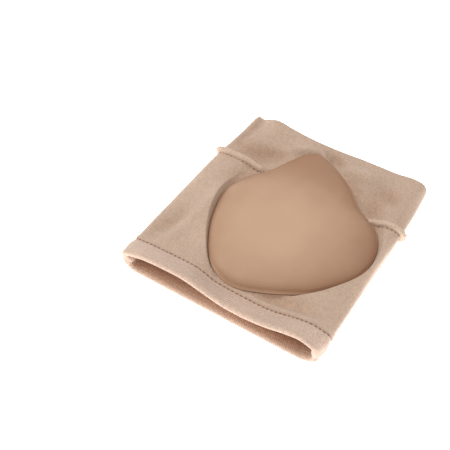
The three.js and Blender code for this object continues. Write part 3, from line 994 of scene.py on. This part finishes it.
class SLEEVE_OT_cuff(PieceBuilder, bpy.types.Operator):
    """Doubled cuff, folded at the far end"""

    bl_idname = "sleeve.cuff"
    bl_label = "Folded cuff"

    def build(self, size, form):
        knit = brushed_jersey("cuff jersey", "#c6ab96", 0.9, 0.8, 0.35)
        free = form.seam + size.ridge_width / 2 + SEWN_GAP
        piece = folded_band("folded_cuff", form, form.length, free, size.knit_wall - 0.1 * MM, knit)
        settle(piece, "knit", "cuff")


class SLEEVE_OT_ridge(PieceBuilder, bpy.types.Operator):
    """Overlocked seam allowance between body and cuff"""

    bl_idname = "sleeve.ridge"
    bl_label = "Seam allowance"

    def build(self, size, form):
        stand = ridge_stand(form)
        half = size.ridge_width / 2
        shape = np.array(RIDGE_SHAPE)
        along = np.concatenate([form.seam + shape[:, 0] * half, [form.seam + half, form.seam - half]])
        out = np.vstack([shape[:, 1:2] * stand, np.full((2, len(stand)), -size.knit_wall)])
        knit = brushed_jersey("overlocked edge", "#dac0aa", 0.9, 0.6, 0.4)
        piece = band("seam_allowance", form, along, out, knit)
        settle(piece, "seam", "seam_ridge")


class SLEEVE_OT_cushion(PieceBuilder, bpy.types.Operator):
    """Gel cushion that lies in a hollow of the knit"""

    bl_idname = "sleeve.cushion"
    bl_label = "Gel cushion"

    def build(self, size, form):
        plan = form.cushion
        bearing = np.arange(PAD_SPOKES) * 360 / PAD_SPOKES
        edge = plan.radius(bearing)
        flatness, steepness, flange = (by_bearing(bearing, PAD_SIDES, k) for k in (1, 2, 3))
        turn = np.radians(bearing)

        def ring(share, height):
            """A ring of points at a share of the way from the middle to the edge."""
            x = plan.centre[0] + np.cos(turn) * edge * share
            y = plan.centre[1] + np.sin(turn) * edge * share
            return np.stack([x, y, form.bed(x, y) + CUSHION_GAP + height], axis=1)

        def dome(share):
            """Thickness of the cushion, which thins towards its tip."""
            y = np.sin(turn) * edge * share
            thin = 1 - TIP_THINNING * smoothstep((y - THINNING_START) / THINNING_REACH)
            inner = np.clip(share / (1 - flange * MM / edge), 0, 1)
            swell = (1 - inner**flatness) ** (1 / steepness)
            return size.pad_flange + (size.pad_thickness - size.pad_flange) * thin * swell

        # the top, with closer rings towards its edge, then the rounded edge, then the underside
        tops = np.concatenate([np.linspace(0.03, 0.8, 26), np.linspace(0.81, 0.985, 30), [0.993, 1.0]])
        layers = [ring(share, dome(share)) for share in tops]
        layers += [ring(1 + EDGE_ROUND / edge, share * size.pad_flange) for share in (0.72, 0.3)]
        layers += [ring(share, 0) for share in (1.0, 0.9, 0.75, 0.5, 0.25, 0.03)]
        grid = np.array(layers)
        rows, steps = grid.shape[:2]
        middles = [ring(0 * edge, dome(0)).mean(axis=0), ring(0 * edge, 0).mean(axis=0)]
        points = np.vstack([grid.reshape(-1, 3), *middles])
        index = np.arange(rows * steps).reshape(rows, steps)
        faces = ring_faces(index).tolist()
        peak, base = rows * steps, rows * steps + 1
        faces += [[peak, int(a), int(b)] for a, b in zip(index[0], np.roll(index[0], -1))]
        faces += [[base, int(b), int(a)] for a, b in zip(index[-1], np.roll(index[-1], -1))]
        # the second colour is the painted shade reached at the cushion's edges
        piece = new_piece("gel_cushion", points, faces, cast_gel("cast gel", "#cdaa8c", "#ab8266"))
        # painted light and shade: the gel is painted lightest a little left of the middle, where the key
        # light falls on the dome, and darker towards its edges
        across = (points[:, 0] - plan.centre[0]) / size.pad_width * 2 + 0.12
        lengthwise = (points[:, 1] - plan.centre[1]) / size.pad_length * 2 + 0.22
        give_points(piece.data, "painted_rim_shade", np.hypot(across, lengthwise))
        settle(piece, "gel", "gel_pad")


class SLEEVE_OT_hem_stitches(PieceBuilder, bpy.types.Operator):
    """Stitch line that holds the hem"""

    bl_idname = "sleeve.hem_stitches"
    bl_label = "Hem stitches"

    def build(self, size, form):
        sewing = bpy.context.scene.sleeve_stitches
        thread = spun_thread("sewing thread", "#c6a792")
        # painted shade: dark flat discs at the ends of the stitches stand for the shadow down in each needle
        # hole
        shade = spun_thread("needle hole", "#80614c")
        place, pitch = size.hem_depth, sewing.pitch
        # a stitch reaches from one needle hole almost to the next
        stitch = (pitch - 0.55 * MM, sewing.thread, sewing.thread)
        ahead = (pitch / 2, 0, 0)
        line = stitch_row("hem_stitches", form, place, -0.22 * MM, pitch, stitch, thread, ahead)
        settle(line, "hem_knit")
        hole = (1.35 * MM, 1.3 * MM, 0.18 * MM)
        hole_shade = stitch_row("hem_needle_hole_shade", form, place, -0.14 * MM, pitch, hole, shade)
        settle(hole_shade, "hem_knit")


class SLEEVE_OT_seam_stitches(PieceBuilder, bpy.types.Operator):
    """Overlock loops round the seam allowance, and dark discs at its foot that paint the shade in the needle
    holes
    """

    bl_idname = "sleeve.seam_stitches"
    bl_label = "Seam stitches"

    def build(self, size, form):
        sewing = bpy.context.scene.sleeve_stitches
        thread = spun_thread("overlock thread", "#d3b8a4")
        # painted shade: dark flat discs along the seam's foot stand for the shadow down in each needle hole
        shade = spun_thread("overlock hole", "#74553f")
        loop = (sewing.thread, size.ridge_width * 1.05, 0.5 * MM)
        pitch = sewing.overlock_pitch
        sunk = ridge_stand(form) - 0.18 * MM
        loops = stitch_row("overlock_loops", form, form.seam, sunk, pitch, loop, thread, slant=0.5)
        settle(loops, "seam")
        foot = form.seam - size.ridge_width / 2 - 0.25 * MM
        hole = (0.9 * MM, 0.6 * MM, 0.16 * MM)
        hole_shade = stitch_row("seam_needle_hole_shade", form, foot, -0.02 * MM, sewing.pitch, hole, shade)
        settle(hole_shade, "seam")


class SLEEVE_OT_stage(bpy.types.Operator):
    """White floor, soft light and the camera"""

    bl_idname = "sleeve.stage"
    bl_label = "Studio"

    def execute(self, context):
        scene = context.scene
        light = scene.sleeve_light
        # half the table's side, in metres
        half = 1.5
        corners = np.array([(-half, -half, 0), (half, -half, 0), (half, half, 0), (-half, half, 0)])
        acrylic = glowing_acrylic("white acrylic", "#f4f4f4", light.table_glow)
        floor = new_piece("studio_floor", corners, [[0, 1, 2, 3]], acrylic)
        world = bpy.data.worlds.new("white surround")
        world.use_nodes = True
        background = world.node_tree.nodes["Background"]
        background.inputs["Color"].default_value = linear("#ffffff")
        background.inputs["Strength"].default_value = light.world_strength
        scene.world = world
        self.area_light("key light", (-0.55, -0.30, 0.78), 0.5, light.key_power)
        self.area_light("fill light", (0.50, 0.45, 0.72), 0.7, light.fill_power)
        scene.view_settings.view_transform = "Standard"
        self.camera(scene)
        return {"FINISHED"}

    def area_light(self, name, place, width, power):
        """A round lamp that shines on the sleeve."""
        data = bpy.data.lights.new(name, "AREA")
        data.shape = "DISK"
        data.size = width
        data.energy = power
        lamp = link(name, data)
        lamp.location = place
        lamp.rotation_euler = (-Vector(place)).to_track_quat("-Z", "Y").to_euler()

    def camera(self, scene):
        """Looks down on the sleeve from the near right, as far off as the photograph's perspective asks."""
        azimuth, elevation, distance = math.radians(32.3), math.radians(52.2), 0.53
        middle, near = origin(scene.sleeve_sizes)
        # the picture's middle on the floor, left of the sleeve's middle line
        aim = Vector((middle - 24.1 * MM, near + 43.2 * MM, 0))
        flat = math.cos(elevation)
        back = Vector((math.sin(azimuth) * flat, -math.cos(azimuth) * flat, math.sin(elevation)))
        data = bpy.data.cameras.new("camera")
        data.lens = 95.0
        data.clip_start = 0.02
        camera = link("camera", data)
        camera.location = aim + back * distance
        camera.rotation_euler = (-back).to_track_quat("-Z", "Y").to_euler()
        scene.camera = camera


class SLEEVE_PT_panel(bpy.types.Panel):
    """Lists the pieces of the sleeve and their sizes"""

    bl_idname = "SLEEVE_PT_panel"
    bl_label = "Arch support sleeve"
    bl_space_type = "VIEW_3D"
    bl_region_type = "UI"
    bl_category = "Sleeve"

    def draw(self, context):
        layout = self.layout
        for group in (
            context.scene.sleeve_sizes,
            context.scene.sleeve_stitches,
            context.scene.sleeve_light,
        ):
            for name in group.__annotations__:
                layout.prop(group, name)
        for operator in PIECES:
            layout.operator(operator.bl_idname)


GROUPS = (
    ("sleeve_sizes", SleeveSizes),
    ("sleeve_stitches", StitchSizes),
    ("sleeve_light", StudioLight),
)
PIECES = (
    SLEEVE_OT_body,
    SLEEVE_OT_hem,
    SLEEVE_OT_cuff,
    SLEEVE_OT_ridge,
    SLEEVE_OT_cushion,
    SLEEVE_OT_hem_stitches,
    SLEEVE_OT_seam_stitches,
    SLEEVE_OT_stage,
)


def register():
    for name, group in GROUPS:
        bpy.utils.register_class(group)
        setattr(bpy.types.Scene, name, PointerProperty(type=group))
    for operator in PIECES:
        bpy.utils.register_class(operator)
    bpy.utils.register_class(SLEEVE_PT_panel)


def unregister():
    bpy.utils.unregister_class(SLEEVE_PT_panel)
    for operator in reversed(PIECES):
        bpy.utils.unregister_class(operator)
    for name, group in reversed(GROUPS):
        delattr(bpy.types.Scene, name)
        bpy.utils.unregister_class(group)


def main():
    """Builds the sleeve and its studio."""
    register()
    bpy.ops.sleeve.stage()
    bpy.ops.sleeve.body()
    bpy.ops.sleeve.hem()
    bpy.ops.sleeve.cuff()
    bpy.ops.sleeve.ridge()
    bpy.ops.sleeve.cushion()
    bpy.ops.sleeve.hem_stitches()
    bpy.ops.sleeve.seam_stitches()


if __name__ == "__main__":
    main()
